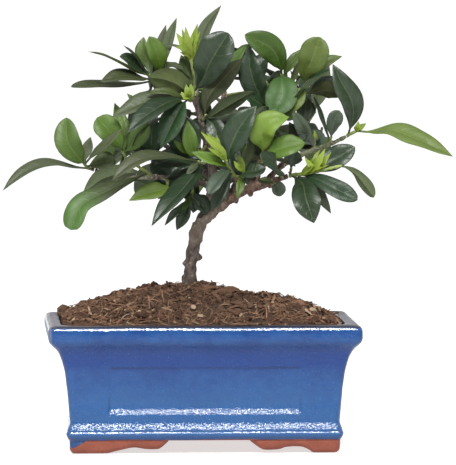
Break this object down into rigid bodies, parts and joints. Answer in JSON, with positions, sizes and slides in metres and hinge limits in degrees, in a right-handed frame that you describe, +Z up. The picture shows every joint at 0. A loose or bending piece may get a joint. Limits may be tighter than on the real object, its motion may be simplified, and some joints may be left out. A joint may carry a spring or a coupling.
{
  "type": "gardenia bonsai",
  "caption": "Small gardenia tree trained as a bonsai, with a curved trunk and glossy leaves, planted in a rectangular glazed pot on cloud-shaped feet.",
  "frame": {"origin": "centre of the whole object's box in X and Y, at the level that the pot stands on", "axes": "+Z up, -Y towards the front of the pot and the tree, +X to the right as seen from the front"},
  "size_m": [0.2201, 0.1448, 0.2162],
  "materials": {
    "glazed_pot": "glossy blue glaze with fine pits; the feet and underside are bare reddish clay",
    "soil": "loose brown coir and bark fibre, matte",
    "screen": "plain black plastic mesh",
    "bark": "rough grey-brown bark with pale patches",
    "leaf_dark": "leathery dark green leaf, glossy above and duller below",
    "leaf_light": "young yellow-green leaf and bud, satin"
  },
  "bodies": {
    "root": {"pot": "glazed_pot", "soil": "soil", "drain_screen_left": "screen", "drain_screen_right": "screen", "trunk_and_branches": "bark", "shoot_far_left": "leaf_dark", "shoot_left": "leaf_light", "shoot_left_rise": "leaf_light", "shoot_left_low": "leaf_dark", "shoot_left_under": "leaf_dark", "shoot_front_left": "leaf_dark", "shoot_front_left_light": "leaf_light", "shoot_crown_left_a": "leaf_dark", "shoot_crown_left_b": "leaf_dark", "shoot_top": "leaf_light", "shoot_top_left": "leaf_light", "shoot_top_back": "leaf_dark", "shoot_middle": "leaf_dark", "shoot_centre": "leaf_light", "shoot_centre_side": "leaf_light", "shoot_front_right": "leaf_light", "shoot_branch_dark": "leaf_dark", "shoot_branch_round": "leaf_dark", "shoot_right_low": "leaf_light", "shoot_right_low_dark": "leaf_dark", "shoot_far_right": "leaf_light", "shoot_right_mid": "leaf_dark", "shoot_right_mid_front": "leaf_dark", "shoot_high_right": "leaf_dark", "shoot_high_mid": "leaf_dark", "shoot_high_front": "leaf_dark", "shoot_high_far": "leaf_dark", "shoot_high_far_low": "leaf_dark", "back_shoot_left_end": "leaf_light", "back_shoot_left_inner": "leaf_dark", "back_shoot_left_upper": "leaf_dark", "back_shoot_left_side": "leaf_dark", "back_shoot_top_end": "leaf_light", "back_shoot_top_left": "leaf_dark", "back_shoot_top_right": "leaf_dark", "back_shoot_middle": "leaf_dark", "back_shoot_right_end": "leaf_dark", "back_shoot_right_upper": "leaf_light", "back_shoot_right_inner": "leaf_dark", "back_shoot_low_end": "leaf_light", "back_shoot_low_left": "leaf_light", "back_shoot_low_right": "leaf_dark", "side_shoot_left": "leaf_dark", "side_shoot_left_low": "leaf_dark", "side_shoot_upper_left": "leaf_dark", "side_shoot_upper_inner": "leaf_dark", "side_shoot_high": "leaf_dark", "side_shoot_high_back": "leaf_dark", "side_shoot_high_low": "leaf_dark", "side_shoot_right": "leaf_dark", "side_shoot_inner": "leaf_dark"}
  },
  "joints": []
}
